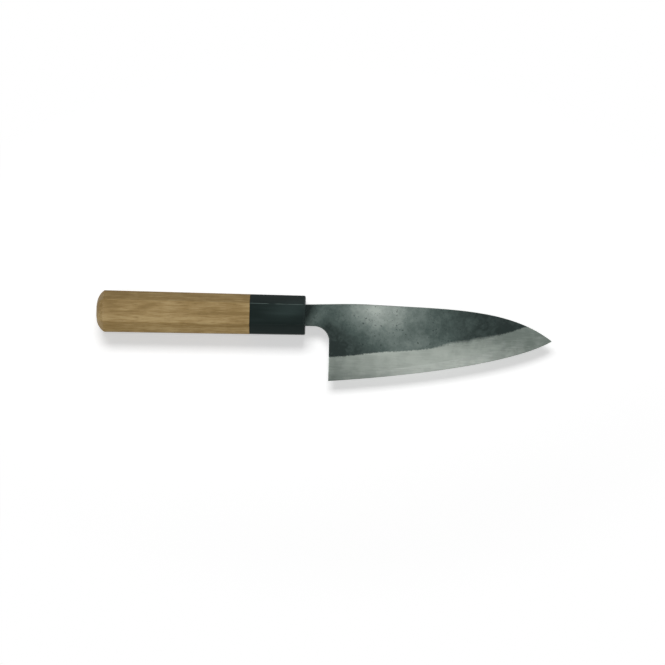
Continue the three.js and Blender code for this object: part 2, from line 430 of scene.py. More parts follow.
# %% Go round a layer
NECK_HEIGHT = 11.4
CHOIL_RADIUS = 8
SHOULDER_X = -5.8
TANG_HEIGHTS = (8.6, 5)  # at the shoulders and at its end

tang_end_x = core_points[:, 0].min()
neck_bottom = SPINE_HEIGHT - NECK_HEIGHT


def choil():
    """Points of the hollow, from the neck to the heel."""
    steps = round(CHOIL_RADIUS * math.pi / 2 / POINT_SPACING)
    middle = Vector((heel.x - CHOIL_RADIUS, neck_bottom - CHOIL_RADIUS))
    angles = [math.pi / 2 * (1 - step / steps) for step in range(steps + 1)]
    return [middle + CHOIL_RADIUS * Vector((math.cos(a), math.sin(a))) for a in angles]


def blade_outline(lower_curve):
    """Anticlockwise round a layer of the blade, whose lower side runs from the heel to its own point."""
    half_tangs = [height / 2 for height in TANG_HEIGHTS]
    point = lower_curve[-1]
    corners = [
        point,
        *[p for p in reversed(spine) if p.x < point.x - POINT_SPACING / 2],
        Vector((SHOULDER_X, SPINE_HEIGHT)),
        Vector((SHOULDER_X, half_tangs[0])),
        Vector((tang_end_x, half_tangs[1])),
        Vector((tang_end_x, -half_tangs[1])),
        Vector((SHOULDER_X, -half_tangs[0])),
        Vector((SHOULDER_X, neck_bottom)),
        *choil(),
        *lower_curve[:-1],
    ]
    outline = []
    for here, there in zip(corners, corners[1:] + corners[:1]):
        steps = max(1, round((there - here).length / POINT_SPACING))
        outline += [here.lerp(there, step / steps) for step in range(steps)]
    return outline


print(f"{len(blade_outline(edge))} points go round the core")

# %% [markdown]
# ## The blade's flats
# Forging leaves flats that are never quite flat: they taper to the tip and carry shallow hammer waves.
# The waves could be sculpted by hand. Three noises of different lengths do the same work, come out alike
# each time, and differ on the two sides, as hammer marks do.

# %% Forge the flats
SPINE_THICKNESS = 3
TIP_THICKNESS = 1.6
WAVES = ((17, 0.035), (6, 0.014), (2.2, 0.006))  # length and depth of the hammer waves
WAVE_NARROWING = 1.3  # how much shorter they are across the blade
WAVE_FADE = 9  # length over which they rise from nothing, in front of the ferrule
SIDE_SHIFT = 7.3  # how far from the middle of the noise each side's waves are taken


def hammer_waves(x, y, side):
    """Height of the hammer marks, which differ on the two sides."""
    rise = np.clip(np.asarray(x) / WAVE_FADE, 0, 1)
    height = np.zeros(len(rise))
    for length, depth in WAVES:
        spots = (
            Vector((px / length, py / length * WAVE_NARROWING, SIDE_SHIFT * side)) for px, py in zip(x, y)
        )
        height += depth * np.array([noise.noise(spot) for spot in spots])
    return height * rise


def half_taper(x):
    """Half the thickness of the flats, before the hammer waves."""
    share = np.clip((np.asarray(x) - heel.x) / (tip.x - heel.x), 0, 1)
    return (SPINE_THICKNESS + (TIP_THICKNESS - SPINE_THICKNESS) * share) / 2


print(f"the blade is {2 * half_taper(crest.x):.1f} mm thick at the spine's crest")

# %% [markdown]
# ## The bevels
# Grinding cuts a true bevel along the edge, and honing a last narrow one. So the blade's half thickness
# at any point is the least of the flat, the bevel and the honed edge, and the wavy line where flat and
# bevel meet comes about by itself, as it does on the real blade. A short list says where that line runs a
# little higher or lower. The same sum tells how far a point lies inside the grinding, and the mesh keeps
# that for the finish.

# %% Grind the bevels
CORE_THICKNESS = 0.9
BEVEL_HEIGHT = 12.5
HONED_HEIGHT = 0.45
HONED_SLOPE = math.tan(math.radians(15))
SOFT_CREASE = 0.02  # rounding of the line between flat and bevel
GRIND_LINE = (  # where the bevel of the right side ends: along the blade, and above the edge
    (13, 12.4), (29, 12.6), (42, 12.95), (54, 12.45), (67, 12.05), (71, 12.2), (74.5, 12.8), (77.5, 13.2),
    (82, 12.85), (86, 12.5), (90, 13.15), (92.5, 12.8), (97.5, 13.1), (105, 12.9), (117, 13.3),
)
GRIND_FADE = 5  # how far up the flat the unevenness behind that line reaches
NO_BEVEL = 3 * BEVEL_HEIGHT  # taken as the height above the edge behind the heel, where there is no edge

core_half = CORE_THICKNESS / 2


def soft_least(first, second, width):
    """The lesser of two heights, with a rounded change from one to the other."""
    share = np.clip(0.5 + (second - first) / (2 * width), 0, 1)
    return second + (first - second) * share - width * share * (1 - share)


def bevel_slope(x):
    return (half_taper(x) - HONED_HEIGHT * HONED_SLOPE) / (BEVEL_HEIGHT - HONED_HEIGHT)


def skin(x, y, side):
    """Half thickness of the blade at points, and how far, up the blade, each lies inside the grinding."""
    above = np.where(np.asarray(x) < heel.x, NO_BEVEL, y - edge_at(x))
    flat = half_taper(x) + hammer_waves(x, y, side)
    slope = bevel_slope(x)
    if side > 0:
        unevenness = slope * (np.interp(x, *np.transpose(GRIND_LINE)) - BEVEL_HEIGHT)
        flat = flat + unevenness * np.exp(-(((above - BEVEL_HEIGHT) / GRIND_FADE) ** 2))
    bevel = HONED_HEIGHT * HONED_SLOPE + (above - HONED_HEIGHT) * slope
    honed = np.maximum(above, 0) * HONED_SLOPE
    height = np.minimum(soft_least(flat, bevel, SOFT_CREASE), honed)
    return np.maximum(height, 0), (flat - bevel) / slope


def core_line():
    """Where the core comes out of the bevel, from the heel to the point where it meets the spine."""
    xs = np.linspace(heel.x, tip.x, len(edge))
    ys = edge_at(xs) + HONED_HEIGHT + (core_half - HONED_HEIGHT * HONED_SLOPE) / bevel_slope(xs)
    under_spine = ys < spine_at(xs)
    return [Vector(p) for p in zip(xs[under_spine], ys[under_spine])]


def honed_line():
    """Where the honed edge meets the bevel, from the heel to shortly before the tip."""
    return [p + Vector((0, HONED_HEIGHT)) for p in edge if p.y + 2 * HONED_HEIGHT < spine_at(p.x)]


seam = core_line()
print(f"the core shows for {seam[0].y - heel.y:.1f} mm above the edge, at the heel")

# %% [markdown]
# ## Points for a plate
# Each layer of the blade is a plate: an outline, a top and a bottom. Extruding the outline would give one
# huge face that can't carry waves or a bevel, so the inside is filled with a lattice of points. A point
# is inside if a line from it crosses the outline an odd number of times, and it keeps clear of the
# outline, so that no triangle there gets too thin.

# %% Spread points over a plate
LATTICE = 0.6  # between the points inside a plate
EASE = 0.4  # radius of the eased edges


def lattice_inside(outline, spacing, clear):
    """Lattice points inside an outline, at least so far clear of it."""
    points = np.array(outline)
    low, high = points.min(axis=0), points.max(axis=0)
    xs, ys = np.meshgrid(np.arange(low[0], high[0], spacing), np.arange(low[1], high[1], spacing))
    lattice = np.stack([xs.ravel(), ys.ravel()], axis=1)
    inside = np.zeros(len(lattice), bool)
    nearest = np.full(len(lattice), np.inf)
    for here, there in zip(points, np.roll(points, -1, axis=0)):
        step = there - here
        away = lattice - here
        crosses = (here[1] > lattice[:, 1]) != (there[1] > lattice[:, 1])
        if step[1]:
            inside ^= crosses & (away[:, 0] < step[0] * away[:, 1] / step[1])
        share = np.clip(away @ step / (step @ step), 0, 1)
        nearest = np.minimum(nearest, np.linalg.norm(away - share[:, None] * step, axis=1))
    return [Vector(p) for p in lattice[inside & (nearest > clear)]]


print(f"{len(lattice_inside(blade_outline(seam), LATTICE, EASE))} lattice points fill a cladding")

# %% [markdown]
# ## Eased edges
# A stone takes the sharpness off the edges that a hand touches. A Bevel modifier could do that, but not
# with a radius that follows the height of the wall. So narrow loops just inside the outline drop in a
# quarter circle. They get narrower where the wall gets low, and end where the bevel runs out, because the
# edge stays sharp.

# %% Ease the edges of a plate
HEEL_EASE = 0.1  # radius at the heel, which is left crisp
EASE_STEPS = 3
EASE_SHARE = 0.4  # the most of a wall's height that is eased
THIN_EDGE = 0.12  # a wall lower than this stays sharp
FULL_EDGE = 0.6  # a wall from this height is eased fully
LEAST_EASE = 0.012
RIM_RUB = 0.5  # how much the outline itself is rubbed, where the loops inside it are rubbed by 1


def inward(outline):
    """Unit normals that point into an anticlockwise outline."""
    points = np.array(outline)
    along = np.roll(points, -1, axis=0) - np.roll(points, 1, axis=0)
    normal = np.stack([-along[:, 1], along[:, 0]], axis=1)
    return normal / np.linalg.norm(normal, axis=1, keepdims=True)


def eased_loops(outline, walls):
    """Points just inside the outline, links that join each loop, and how far points drop and are rubbed."""
    normals = inward(outline)
    ease = np.array([EASE if p.y > neck_bottom - CHOIL_RADIUS else HEEL_EASE for p in outline])
    fade = np.clip((walls - THIN_EDGE) / (FULL_EDGE - THIN_EDGE), 0, 1)
    radii = np.minimum(ease, walls * EASE_SHARE) * fade
    radii[radii < LEAST_EASE] = 0
    points, links, drops, rubs = [], [], list(radii), [RIM_RUB * (r > 0) for r in radii]
    for step in range(1, EASE_STEPS + 1):
        angle = math.pi / 2 * step / EASE_STEPS
        last = None
        for place, normal, radius in zip(outline, normals, radii):
            if radius == 0:
                last = None
                continue
            points.append(place + Vector(normal) * radius * (1 - math.cos(angle)))
            drops.append(radius * (1 - math.sin(angle)))
            rubs.append(float(step < EASE_STEPS))
            here = len(drops) - 1
            if last is not None:
                links.append((last, here))
            last = here
    return points, links, drops, rubs


print(f"the edges of the claddings are eased by up to {EASE} mm")

# %% [markdown]
# ## A closed piece
# Each piece that is drawn here ends as a closed mesh: doubled points are merged, all faces point outwards
# and are smooth, and edges that bend a lot are marked sharp. Where a line of sharp edges dies out, smooth
# shading would leave a bright streak, so the edges around its end are marked too. Counting the open edges
# shows at once whether a piece is closed.

# %% Make a closed piece
SHARP_BEND = 35  # degrees from which an edge is sharp
LINE_END = 5  # degrees of bend that stay smooth where a sharp line dies out
WELD = 1e-4  # points nearer than this are merged


def mark_sharp(shape, limit):
    """Marks the edges that bend by more than a limit, and the ends of lines of them that die out."""
    for line in shape.edges:
        line.smooth = line.calc_face_angle(0) < math.radians(limit)
    ends = [v for v in shape.verts if sum(not line.smooth for line in v.link_edges) == 1]
    for line in {line for v in ends for line in v.link_edges}:
        line.smooth = line.calc_face_angle(0) < math.radians(LINE_END)


def new_piece(name, points, faces, material, rubbed, sharp_bend=SHARP_BEND):
    """A closed object of drawn points, smooth except at its sharp edges."""
    mesh = bpy.data.meshes.new(name)
    mesh.from_pydata([in_frame(*p) for p in points], [], faces)
    mesh.attributes.new("rubbed", "FLOAT", "POINT").data.foreach_set("value", rubbed)
    shape = bmesh.new()
    shape.from_mesh(mesh)
    bmesh.ops.remove_doubles(shape, verts=shape.verts, dist=WELD * MM)
    bmesh.ops.recalc_face_normals(shape, faces=shape.faces)
    for face in shape.faces:
        face.smooth = True
    mark_sharp(shape, sharp_bend)
    shape.to_mesh(mesh)
    open_edges = sum(not line.is_manifold for line in shape.edges)
    shape.free()
    if material:
        mesh.materials.append(material)
    made = add_object(name, mesh)
    print(f"{name}: {len(mesh.polygons)} faces, {open_edges} open edges")
    return made


print(f"edges that bend by more than {SHARP_BEND} degrees will be sharp")

# %% [markdown]
# ## Triangles for a plate
# A constrained Delaunay triangulation joins outline, loops and lattice without crossing the outline. It
# fills the outline's hollows as well, so only the triangles that lie inside are kept. It may merge or
# renumber points, so the function also tells where each given point went.

# %% Fill an outline with triangles
WHOLE_HULL = 0  # the kind of triangulation
SAME_POINT = 1e-5  # points nearer than this are one


def triangulate(outline, inside_points, links):
    """The points and triangles that fill an outline, and where each given point went."""
    rim = list(range(len(outline)))
    points, _, triangles, sources, _, owners = geometry.delaunay_2d_cdt(
        [*outline, *inside_points], links, [rim], WHOLE_HULL, SAME_POINT, True
    )
    kept = [tuple(t) for t, owner in zip(triangles, owners) if owner]
    where = {source: place for place, merged in enumerate(sources) for source in merged}
    return np.array(points), kept, where


print(f"{len(triangulate(blade_outline(edge), [], [])[1])} triangles fill the core's bare outline")

# %% [markdown]
# ## A plate
# The triangles serve twice, for the top and for the bottom, and a wall joins the two. The claddings have
# eased edges. The core has creases instead, along the line where it comes out of the bevel and along its
# honed edge.

# %% Build a plate
CREASE_BEND = 3  # degrees from which an edge is sharp on a plate with creases
CLEAR_PART = 3  # the lattice keeps clear of the eased edges by this part of its spacing


def crease_points(creases, first):
    """Points along creases, and the links that join them, numbered from a first point."""
    points, links = [], []
    for crease in creases:
        start = first + len(points)
        links += [(i, i + 1) for i in range(start, start + len(crease) - 1)]
        points += crease
    return points, links


def plate(name, outline, top, bottom, material, creases=(), lattice=LATTICE):
    """A plate between a top and a bottom, both functions of X and Y. One with creases isn't eased."""
    xs, ys = np.array(outline).T
    if creases:
        loops, links = crease_points(creases, len(outline))
        drops, rubs = [], []
    else:
        loops, links, drops, rubs = eased_loops(outline, top(xs, ys) - bottom(xs, ys))
    inner = lattice_inside(outline, lattice, EASE + lattice / CLEAR_PART)
    flat, triangles, where = triangulate(outline, [*loops, *inner], links)
    drop, rubbed = np.zeros((2, len(flat)))
    for source, (depth, rub) in enumerate(zip(drops, rubs)):
        drop[where[source]], rubbed[where[source]] = depth, rub
    upper = np.column_stack([flat, top(*flat.T) - drop])
    lower = np.column_stack([flat, bottom(*flat.T)])
    count = len(flat)
    ring = [where[i] for i in range(len(outline))]
    faces = [
        *triangles,
        *[tuple(count + i for i in reversed(t)) for t in triangles],
        *[(a, a + count, b + count, b) for a, b in zip(ring, ring[1:] + ring[:1])],
    ]
    sharp_bend = CREASE_BEND if creases else SHARP_BEND
    return new_piece(name, [*upper, *lower], faces, material, [*rubbed, *np.zeros(count)], sharp_bend)


core_creases = (seam[1:-1], honed_line()[1:])  # without the ends that lie on the outline
print(f"{sum(len(crease) for crease in core_creases)} points make the core's creases")

# %% [markdown]
# ## Stoned metal
# The bevel is bright metal with fine lines from the stones and a soft haze, and it carries a painted
# highlight along its middle, where a lamp's reflection lies. The iron of the claddings and the steel of the
# core both show that, so it is a node group.
# It uses the two groups from above, because a group may hold others.

# %% Stoned metal
BEVEL_SHEEN_AREAS = (  # painted highlight: the parts of the bevel where a lamp's reflection lies, made brighter
    ((67, -24.5), (86, 24), -3, 1.0),
    ((46, -17.6), (28, 3.8), 7.5, 0.4),
)
LINE_HAZE = 0.07  # how much lines and clouds change the polish
CLOUD_HAZE = 0.08


def stoned_group():
    """Metal worked on stones: the fine lines that they leave, how far it is polished, and a painted
    highlight.
    """
    tree, given, result = new_group("Stoned metal", {"Cloud Scale": 130}, ("Line", "Polish and sheen"))
    line = use_group(tree, FIBRES, Scale=5200.0, Stretch=60.0, Low=0.35, High=0.65)["Line"]
    cloud = use_group(tree, PATCHES, Scale=given["Cloud Scale"], Low=0.36, High=0.64)["Cloud"]
    polish_and_sheen = add_areas(tree, remap(tree, line, 0, 1, -LINE_HAZE, LINE_HAZE), BEVEL_SHEEN_AREAS)
    haze = remap(tree, cloud, 0, 1, -CLOUD_HAZE, CLOUD_HAZE)
    fill(tree, result["Line"], line)
    fill(tree, result["Polish and sheen"], maths(tree, "ADD", polish_and_sheen, haze))
    return tree


STONED = stoned_group()
print("node group:", STONED.name)

# %% [markdown]
# ## Forge scale
# The flats keep the dark scale of the forge: patchy and pitted, paler over the middle and darkest by the
# heel and towards the tip. That paler middle is partly thinner scale and partly painted highlight, where a
# lamp's reflection lies near the spine. The paler areas are soft ovals on a dark ground, and the pits lie
# in some of the cells of a Voronoi pattern, which noise alone would make too even.

# %% Forge scale and its pits
SCALE_DARK = (0.018, 0.027, 0.025)
SCALE_MIDDLE = (0.060, 0.083, 0.076)
# the two palest stops show mostly inside the paler areas, thinner scale and painted highlight
SCALE_THIN_AND_SHEEN = (0.140, 0.173, 0.159)
SCALE_SHEEN = (0.34, 0.38, 0.35)
SCALE_SHEEN_AREAS = (  # middle, reach, turn and share of the paler areas, thinner scale and painted highlight, or darker below 0
    ((43.5, 5.2), (39, 17.3), 2, 0.71),
    ((43, -11), (58, 22.5), -32, 0.44),
    ((69.5, -9.5), (39.5, 27), 41, 0.29),
    ((-5, -10.3), (30, 9.5), 42, 0.63),
    ((37.5, 4.5), (8, 5), -20, 0.12),
    ((0, -1), (4.5, 12), 0, -0.3),
)
SCALE_CLOUDS = 0.05  # how much large and small patches change the scale's thickness
SCALE_MOTTLE = 0.035
PIT_PULL = 0.7  # how far noise pulls the pits' cells about, as a share of a cell
PIT_NOISE = 2.5  # how much finer than the cells that noise is
PIT_RADIUS = 0.34  # of the largest pits, as a share of a cell
PIT_RIM = (-0.05, 0.1)  # where a pit's rim starts and ends, as shares of a cell


def scale_colour(tree, cloud, fine):
    """Dark scale with its paler areas of thinner scale and painted highlight, clouded and mottled."""
    clouds = remap(tree, cloud, 0, 1, -SCALE_CLOUDS, SCALE_CLOUDS)
    mottle = remap(tree, fine, 0, 1, -SCALE_MOTTLE, SCALE_MOTTLE)
    thin_and_sheen = add_areas(tree, maths(tree, "ADD", clouds, mottle), SCALE_SHEEN_AREAS)
    return tone(tree, thin_and_sheen, (0.0, SCALE_DARK), (0.3, SCALE_MIDDLE), (0.6, SCALE_THIN_AND_SHEEN), (1.0, SCALE_SHEEN))


def pit_mask(tree, scale, share):
    """Small uneven pits, in a share of the cells of a Voronoi pattern that noise pulls about."""
    place = own_place(tree)
    pull = node(tree, "TexNoise", Vector=place, Scale=PIT_NOISE * scale, Detail=2.0).outputs["Color"]
    moved = vectors(tree, "MULTIPLY_ADD", pull, [PIT_PULL / scale] * 3, place)
    cells = node(tree, "TexVoronoi", Vector=moved, Scale=scale).outputs
    chosen = node(tree, "SeparateColor", Color=cells["Color"]).outputs["Red"]
    size = remap(tree, chosen, 1 - share, 1.0, 0.0, PIT_RADIUS)
    return remap(tree, maths(tree, "SUBTRACT", size, cells["Distance"]), *PIT_RIM)


print(f"{len(SCALE_SHEEN_AREAS)} areas of the forge scale are thinner or thicker than the rest")

# %% [markdown]
# ## Finish of the claddings
# One material holds scale and iron, and the distance to the grinding, kept on the mesh, decides between
# them. A little noise on that distance frays the line as real grinding does, and where the stone was
# lifted slowly the line is spread out into a feathered band. The scale is rough and has a crust with some
# height, while the iron has only its grooves.

# %% Finish the claddings
IRON_DULL = (0.175, 0.208, 0.186)
IRON_BRIGHT = (0.50, 0.55, 0.50)
FRAY = 0.3  # how far the line between scale and iron wanders
LINE_FADE = (-0.5, 0.4)  # how far inside the grinding the iron starts to show, and shows fully
FEATHERED_AREA = ((87, -12), (30, 18), 0)  # where that line is soft
FEATHERED_SPREAD = 3.4  # how many times as wide it is there
PIT_SHADE = 0.6  # how much darker pits are
PIT_DEPTH = 0.015
CRUST_HEIGHT = 0.7  # of the crust and of the grooves in the iron, as shares of a pit's depth
GROOVE_HEIGHT = 0.05


def ground_mask(tree):
    """1 on ground iron, 0 on scale, with a frayed line between them."""
    depth = node(tree, "Attribute", {"attribute_name": "grind"}).outputs["Fac"]
    fray = remap(tree, noise_value(tree, 1100.0, 4.0, 0.7), 0.3, 0.7, -FRAY, FRAY)
    spread = remap(tree, soft_oval(tree, *FEATHERED_AREA), 0, 1, 1.0, FEATHERED_SPREAD)
    return remap(tree, maths(tree, "DIVIDE", maths(tree, "ADD", depth, fray), spread), *LINE_FADE)


def cladding_finish():
    made, tree, shader = new_material("forge scale and ground iron")
    ground = ground_mask(tree)
    cloud = use_group(tree, PATCHES, Scale=130.0, Low=0.36, High=0.64)["Cloud"]
    fine = use_group(tree, PATCHES, Scale=620.0, Low=0.38, High=0.64)["Cloud"]
    pits = maths(tree, "MAXIMUM", pit_mask(tree, 620.0, 0.3), pit_mask(tree, 1500.0, 0.35))
    shade = maths(tree, "MULTIPLY", pits, PIT_SHADE)
    scale = blend(tree, shade, scale_colour(tree, cloud, fine), (*SCALE_DARK, 1))

    stoned = use_group(tree, STONED)
    # the iron is brightest under the painted highlight along the bevel's middle
    iron = tone(tree, stoned["Polish and sheen"], (0.0, IRON_DULL), (1.0, IRON_BRIGHT))
    edge_mask = use_group(tree, RUBBED_AND_SHEEN, Amount=0.45)["Mask"]
    colour = blend(tree, edge_mask, blend(tree, ground, scale, iron), (*IRON_DULL, 1))
    fill(tree, shader.inputs["Base Color"], colour)

    crust_rough = remap(tree, fine, 0, 1, 0.42, 0.54)
    iron_rough = remap(tree, stoned["Line"], 0, 1, 0.30, 0.36)
    fill(tree, shader.inputs["Roughness"], mix(tree, ground, crust_rough, iron_rough))
    fill(tree, shader.inputs["Metallic"], remap(tree, ground, 0, 1, 0.85, 1.0))

    crust = maths(tree, "SUBTRACT", maths(tree, "MULTIPLY", fine, CRUST_HEIGHT), pits)
    crust = maths(tree, "MULTIPLY", crust, remap(tree, ground, 0, 1, 1.0, 0.0))
    grooves = maths(tree, "MULTIPLY", stoned["Line"], remap(tree, ground, 0, 1, 0.0, GROOVE_HEIGHT))
    fill(tree, shader.inputs["Normal"], bump(tree, maths(tree, "ADD", crust, grooves), PIT_DEPTH))
    return made


CLADDING_FINISH = cladding_finish()
print("finish:", CLADDING_FINISH.name)

# %% [markdown]
# ## Finish of the core
# The core has a material of its own, because hard steel takes a higher polish than iron. It shows the same
# lines, haze and painted highlight, only brighter and smoother.

# %% Finish the core
STEEL_BRIGHT = (0.57, 0.62, 0.57)
STEEL_GROOVES = 0.001  # depth of the lines from the stones


def core_finish():
    made, tree, shader = new_material("honed core steel")
    stoned = use_group(tree, STONED, Cloud_Scale=160.0)
    steel = tone(tree, stoned["Polish and sheen"], (0.0, IRON_DULL), (1.0, STEEL_BRIGHT))
    fill(tree, shader.inputs["Base Color"], steel)
    fill(tree, shader.inputs["Roughness"], remap(tree, stoned["Line"], 0, 1, 0.28, 0.34))
    fill(tree, shader.inputs["Normal"], bump(tree, stoned["Line"], STEEL_GROOVES))
    shader.inputs["Metallic"].default_value = 1.0
    return made


CORE_FINISH = core_finish()
print("finish:", CORE_FINISH.name)

# %% [markdown]
# ## The three layers
# The core is the middle layer, flush with its neighbours at the spine, and it alone reaches the edge. The
# two claddings are alike apart from their hammer marks and the right one's wavy grinding line, so one
# function makes both, and mirrors the left one.

# %% Make the core and the claddings
CORE_LATTICE = 1  # the core is plain inside, so its points lie further apart
ON_SPINE = 0.01  # how far below the spine a point still counts as part of it
NEAR_SPINE = 1  # how far below it an eased edge still belongs to it
SPINE_GRIND = 2  # the spine is stoned bright, as if it lay so far inside the grinding


def core_top(x, y):
    return np.minimum(skin(x, y, 0)[0], core_half)


def make_core():
    return plate(
        "core_layer",
        blade_outline(edge),
        core_top,
        lambda x, y: -core_top(x, y),
        CORE_FINISH,
        creases=core_creases,
        lattice=CORE_LATTICE,
    )


def make_cladding(name, side):
    outline = blade_outline(seam)
    made = plate(
        name,
        outline,
        lambda x, y: np.maximum(skin(x, y, side)[0], core_half),
        lambda x, y: np.full(len(x), core_half),
        CLADDING_FINISH,
    )
    spots = np.array([as_drawn(v.co) for v in made.data.vertices])
    xs, ys, _ = spots.T
    rubbed = np.zeros(len(spots), np.float32)
    made.data.attributes["rubbed"].data.foreach_get("value", rubbed)
    below = spine_at(xs) - ys
    on_spine = (xs > 0) & ((below < ON_SPINE) | (below < NEAR_SPINE) & (rubbed > 0))
    depth = np.where(on_spine, SPINE_GRIND, skin(xs, ys, side)[1])
    grind = made.data.attributes.new("grind", "FLOAT", "POINT")
    grind.data.foreach_set("value", depth.astype(np.float32))
    if side < 0:
        made.data.transform(Matrix.Translation((0, 0, 2 * anchor.z)) @ Matrix.Scale(-1, 4, (0, 0, 1)))
        made.data.flip_normals()
    return made


layers = {
    "blade_core": (make_core(), "core_steel"),
    "right_cladding": (make_cladding("right_iron_layer", 1), "cladding_iron"),
    "left_cladding": (make_cladding("left_iron_layer", -1), "cladding_iron"),
}
for solid_name, (layer, finish_slot) in layers.items():
    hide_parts(solid_name)
    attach(layer, "root")

# %% [markdown]
# ## The handle's section
# The handle has eight sides. A plain octagon looks like plastic: a planed and oiled handle has edges that
# are eased by the last strokes, and faces that are very slightly crowned. So the section is drawn with a
# small arc at each corner and a low bow along each side. The corners beside the spine are rubbed a little
# more than the others, and they carry a painted highlight as well: a pale line along them.

# %% Draw the handle's section
BUTT_HEIGHT = 21.8
FRONT_HEIGHT = 20.6
HANDLE_THICKNESS = 19
FACET_DEPTH = 4.95
DOME_DEPTH = 4.2
DOME_FLAT = 5.8
CORNER_RADIUS = 0.55
CORNER_STEPS = 4
CROWN = 0.05  # rise of each face at its middle
CROWN_STEPS = 4

rim_x = butt_x + DOME_DEPTH


def octagon(height, thickness):
    """Corners of the section, as (y, z), going round from +Y towards +Z."""
    y, z, cut = height / 2, thickness / 2, FACET_DEPTH
    quarter = [(y, z - cut), (y - cut, z)]
    half = quarter + [(-a, b) for a, b in reversed(quarter)]
    return [Vector(p) for p in half + [(-a, -b) for a, b in half]]


def handle_section(height, thickness):
    """The octagon with round corners, and with crowned sides whose middles touch it."""
    corners = octagon(height - 2 * CROWN, thickness - 2 * CROWN)
    points = []
    for before, here, after in zip(corners[-1:] + corners[:-1], corners, corners[1:] + corners[:1]):
        into, out = (here - before).normalized(), (after - here).normalized()
        bend = into.angle(out)
        start = here - into * CORNER_RADIUS * math.tan(bend / 2)
        end = here + out * CORNER_RADIUS * math.tan(bend / 2)
        sweep = [share / CORNER_STEPS for share in range(CORNER_STEPS + 1)]
        points += [(start.lerp(here, s)).lerp(here.lerp(end, s), s) for s in sweep]
        far = after - out * CORNER_RADIUS * math.tan(bend / 2)
        outside = Vector((out.y, -out.x))
        for step in range(1, CROWN_STEPS):
            share = step / CROWN_STEPS
            points.append(end.lerp(far, share) + outside * CROWN * 4 * share * (1 - share))
    return points


def section_at(x, inset=0.0, share=1.0):
    """A section of the handle as points of (x, y, z), drawn in by an inset or shrunk to a share."""
    height = np.interp(x, [rim_x, 0], [BUTT_HEIGHT, FRONT_HEIGHT])
    shape = handle_section(height - 2 * inset, HANDLE_THICKNESS - 2 * inset)
    return [(x, p.x * share, p.y * share) for p in shape]


CORNER_WEAR_AND_SHEEN = (0.1, 1, 0.1, 0.1, 0.1, 0.1, 1, 0.1)  # the corners beside the spine carry a painted highlight, a pale line, on top of their wear
CORNER_RUB = [1 - abs(2 * step / CORNER_STEPS - 1) for step in range(CORNER_STEPS + 1)]
SECTION_RUB_AND_SHEEN = [wear * rub for wear in CORNER_WEAR_AND_SHEEN for rub in CORNER_RUB + [0] * (CROWN_STEPS - 1)]
print(f"a section of the handle has {len(section_at(0))} points")

# %% [markdown]
# ## Planing
# A maker first planes the handle to its section. A loft does the same work: it joins sections of as many
# points each by bands of faces, and closes the ends.

# %% Loft
def loft(name, sections, material=None, rubbed=None):
    """A closed piece through sections of as many points each, with flat ends."""
    count = len(sections[0])
    points = [p for section in sections for p in section]
    faces = [tuple(range(count)), tuple(range(len(points) - count, len(points)))]
    for first in range(0, len(points) - count, count):
        for i in range(count):
            j = (i + 1) % count
            faces.append((first + i, first + j, first + count + j, first + count + i))
    return new_piece(name, points, faces, material, (rubbed or [0] * count) * len(sections))


print(f"a band between two sections of the handle will have {len(section_at(0))} faces")

# %% [markdown]
# ## Boring
# Then the handle is bored. A Boolean modifier does that, with a round or an upright bar as its cutter. It
# is applied straight away, so that each piece keeps a plain mesh, and the edges that it leaves are marked
# sharp. The bore follows the dowel's solid, with room for glue.

# %% Carve
BORE_GAP = 0.2
CUT_PAST = 5  # how far a cutter runs past what it cuts

dowel_low, dowel_high = (as_drawn(corner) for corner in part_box("handle_dowel"))
bore_radius = dowel_high.z + BORE_GAP


def carve(piece, cutter):
    """Cuts one piece out of another, for good."""
    cut = piece.modifiers.new("carve", "BOOLEAN")
    cut.operation = "DIFFERENCE"
    cut.solver = "EXACT"
    cut.object = cutter
    ready = piece.evaluated_get(bpy.context.evaluated_depsgraph_get())
    carved = bpy.data.meshes.new_from_object(ready)
    carved.shade_smooth()
    carved.set_sharp_from_angle(angle=math.radians(SHARP_BEND))
    piece.modifiers.clear()
    piece.data = carved
    bpy.data.objects.remove(cutter)


def round_cutter(radius, start_x, end_x, sides=48):
    """A round bar along the axis, to bore with."""
    ring = [2 * math.pi * i / sides for i in range(sides)]
    ends = [[(x, radius * math.cos(a), radius * math.sin(a)) for a in ring] for x in (start_x, end_x)]
    return loft("cutter", ends)


def slot_cutter(height, width, middle_y, start_x, end_x, corner=0.0, steps=5):
    """An upright bar along the axis, with round corners if asked, to cut a slot with."""
    ring = []
    for quarter in range(4):
        angle = quarter * math.pi / 2
        side_y = math.copysign(1, math.cos(angle + math.pi / 4)) * (height / 2 - corner)
        side_z = math.copysign(1, math.sin(angle + math.pi / 4)) * (width / 2 - corner)
        for step in range(steps + 1 if corner else 1):
            a = angle + math.pi / 2 * step / steps
            ring.append((middle_y + side_y + corner * math.cos(a), side_z + corner * math.sin(a)))
    return loft("cutter", [[(x, y, z) for y, z in ring] for x in (start_x, end_x)])


print(f"the dowel's bore has a radius of {bore_radius:.1f} mm")

# %% [markdown]
# ## Growth rings
# The handle is an open-grained tan hardwood. Its growth rings are cut almost along their length, so they
# show as long, faint bands on the sides and as arcs on the butt. That is why the texture is solid: rings
# about a pith far outside the handle, which change slowly along it.

# %% Growth rings
RING_WIDTH = 2.1
PITH = (0, 26, -46)  # middle of the growth rings, beside the handle's axis
RING_STRETCH = 9  # how much slower the rings change along the wood
WAVE_LENGTH = math.pi / 10  # a wave texture repeats after this length at a scale of 1


